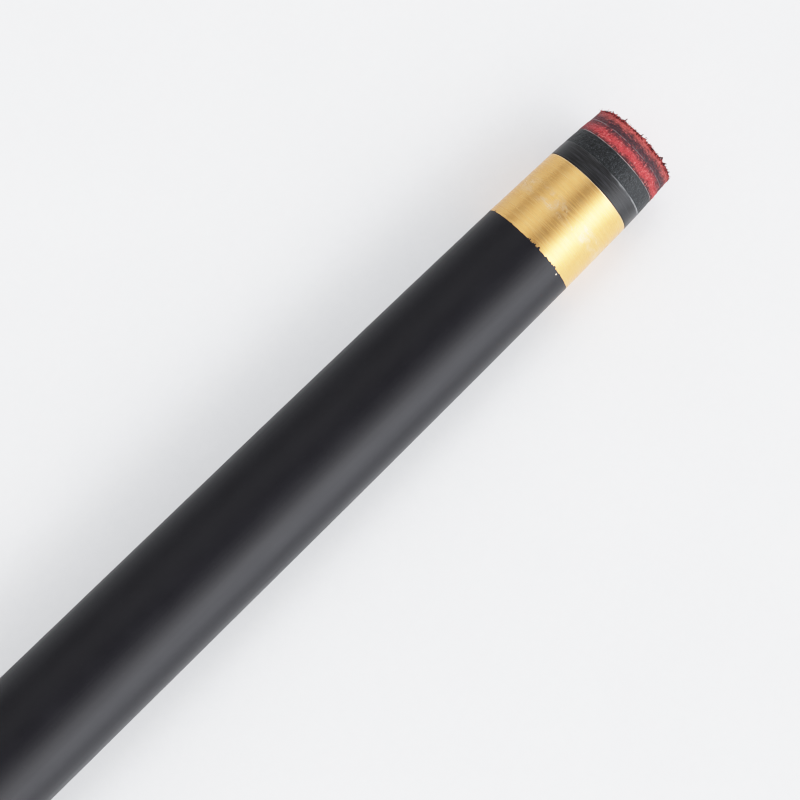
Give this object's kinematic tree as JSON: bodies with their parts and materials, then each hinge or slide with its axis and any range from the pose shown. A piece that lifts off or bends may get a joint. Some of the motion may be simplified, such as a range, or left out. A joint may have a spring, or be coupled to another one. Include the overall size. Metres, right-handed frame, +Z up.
{
  "type": "billiard cue",
  "caption": "Tapered cue in two screwed halves, with a laminated leather tip, a short brass ferrule, a black composite shaft and a weighted wooden butt with a wound grip.",
  "frame": {"origin": "on the cue's axis, at the mouth of the extension socket in the butt end", "axes": "+X along the axis from the butt to the tip, +Z up with the cue lying on its side"},
  "size_m": [1.4501, 0.029, 0.029],
  "materials": {
    "tip_crown": "matte",
    "tip_red_leather": "matte",
    "tip_black_leather": "matte",
    "tip_pad": "satin",
    "ferrule": "satin",
    "tenon_plug": "matte",
    "shaft_tube": "satin",
    "joint_plug": "matte",
    "shaft_insert": "satin",
    "shaft_collar": "gloss",
    "shaft_ring": "polished",
    "foam_core": "matte",
    "joint_pin": "satin",
    "butt_collar": "gloss",
    "butt_ring": "polished",
    "forearm": "gloss",
    "forearm_stud": "satin",
    "grip_ring_front": "polished",
    "handle": "matte",
    "grip_wrap": "satin",
    "grip_ring_rear": "polished",
    "sleeve_stud": "satin",
    "butt_sleeve": "gloss",
    "weight_bolt": "satin",
    "cap_ring": "polished",
    "butt_cap": "gloss",
    "extension_socket": "satin",
    "bumper": "matte"
  },
  "bodies": {
    "butt": {"joint_pin": "joint_pin", "butt_collar": "butt_collar", "butt_ring": "butt_ring", "forearm": "forearm", "forearm_stud": "forearm_stud", "grip_ring_front": "grip_ring_front", "handle": "handle", "grip_wrap": "grip_wrap", "grip_ring_rear": "grip_ring_rear", "sleeve_stud": "sleeve_stud", "butt_sleeve": "butt_sleeve", "weight_bolt": "weight_bolt", "cap_ring": "cap_ring", "butt_cap": "butt_cap", "extension_socket": "extension_socket", "bumper": "bumper"},
    "shaft_core": {"foam_core": "foam_core"},
    "shaft": {"tip_crown": "tip_crown", "tip_red_leather": "tip_red_leather", "tip_black_leather": "tip_black_leather", "tip_pad": "tip_pad", "ferrule": "ferrule", "tenon_plug": "tenon_plug", "shaft_tube": "shaft_tube", "joint_plug": "joint_plug", "shaft_insert": "shaft_insert", "shaft_collar": "shaft_collar", "shaft_ring": "shaft_ring"}
  },
  "joints": [
    {"name": "shaft_travel", "type": "slide", "parent": "butt", "child": "shaft_core", "axis": [1, 0, 0], "range_m": [0, 0.02794]},
    {"name": "shaft_turn", "type": "hinge", "parent": "shaft_core", "child": "shaft", "pos_m": [0.712, 0, 0], "axis": [1, 0, 0], "range_deg": [0, 3961]}
  ],
  "couplings": [
    {"joint": "shaft_turn", "follows": "shaft_travel", "rad_per_m": 2473.7}
  ]
}
